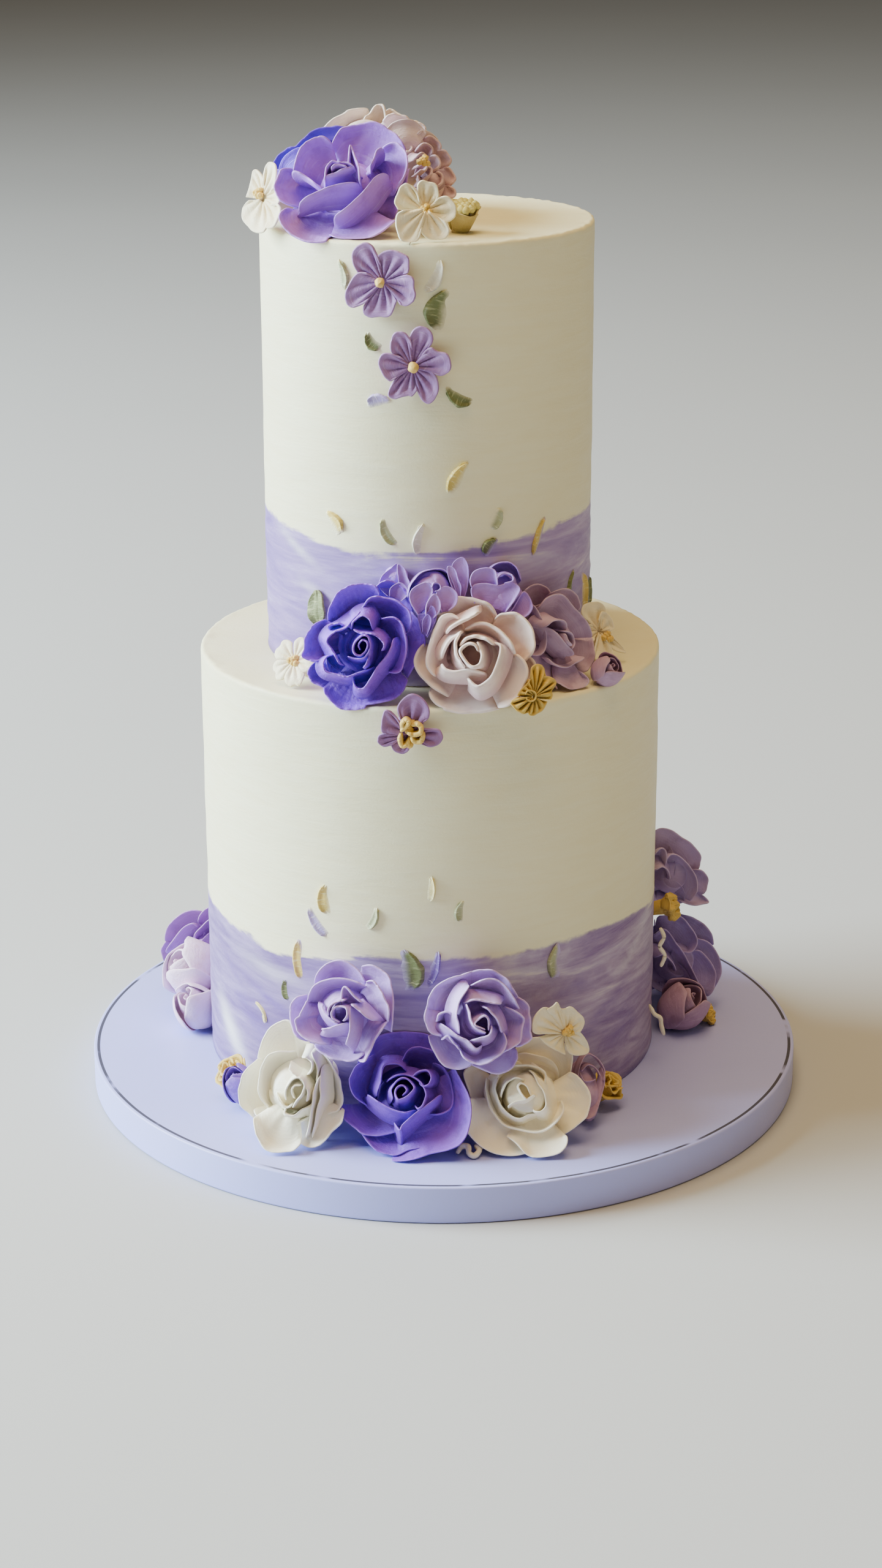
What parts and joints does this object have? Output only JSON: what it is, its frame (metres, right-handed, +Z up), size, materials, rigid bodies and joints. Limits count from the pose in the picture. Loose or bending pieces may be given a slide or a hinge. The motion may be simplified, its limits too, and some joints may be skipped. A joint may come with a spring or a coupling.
{
  "type": "tiered wedding cake",
  "caption": "Round two-tier iced wedding cake on its board, each tier with a washed band at its foot, dressed with piped icing roses, buds and small flowers.",
  "frame": {"origin": "centre of the board's underside, on the surface that it stands on", "axes": "+Z up, -Y towards the front of the cake where the main flower groups are, +X to its right"},
  "size_m": [0.254, 0.254, 0.3421],
  "materials": {
    "cream": "smoothed matt buttercream",
    "ivory": "piped matt buttercream",
    "lilac": "piped matt buttercream",
    "violet": "piped satin buttercream",
    "blush": "piped matt buttercream",
    "mauve": "piped matt buttercream",
    "pink": "piped matt buttercream",
    "yellow": "piped matt buttercream",
    "green": "piped matt buttercream",
    "lime": "piped matt buttercream",
    "board": "satin embossed covering paper on a stiff board"
  },
  "bodies": {
    "root": {"board": "board", "tier_bottom": "cream", "tier_top": "cream", "rose_low_violet": "violet", "rose_low_lilac_left": "lilac", "rose_low_lilac_right": "lilac", "rose_low_white_left": "ivory", "rose_low_white_right": "ivory", "rose_mid_violet": "violet", "rose_mid_cream": "blush", "rose_mid_mauve": "mauve", "rose_top_lilac": "lilac", "rose_top_violet": "violet", "rose_top_blush": "blush", "rose_top_pink": "pink", "rose_left_lilac": "lilac", "rose_left_white": "ivory", "rose_right_mauve": "mauve", "rose_right_deep": "mauve", "rose_right_white": "ivory", "bud_mid_a": "lilac", "bud_mid_c": "lilac", "bud_mid_b": "lilac", "bud_mid_left": "lilac", "bud_mid_low": "lilac", "bud_mid_mauve": "mauve", "bud_low_left": "lilac", "bud_low_right": "mauve", "bud_left": "pink", "bud_left_pale": "pink", "bud_right": "mauve", "bud_top_lime": "lime", "flower_side_upper": "lilac", "flower_side_lower": "lilac", "flower_mid_violet": "lilac", "flower_low_white": "ivory", "flower_top_white_left": "ivory", "flower_top_white_right": "ivory", "flower_top_pink": "pink", "flower_mid_white_left": "ivory", "flower_mid_white_right": "ivory", "ruffle_mid_yellow": "yellow", "ruffle_low_right": "yellow", "ruffle_low_left": "yellow", "ruffle_low_white": "ivory", "ruffle_right_yellow": "yellow", "ruffle_right_low": "yellow", "leaf_mid_left": "green"}
  },
  "joints": []
}
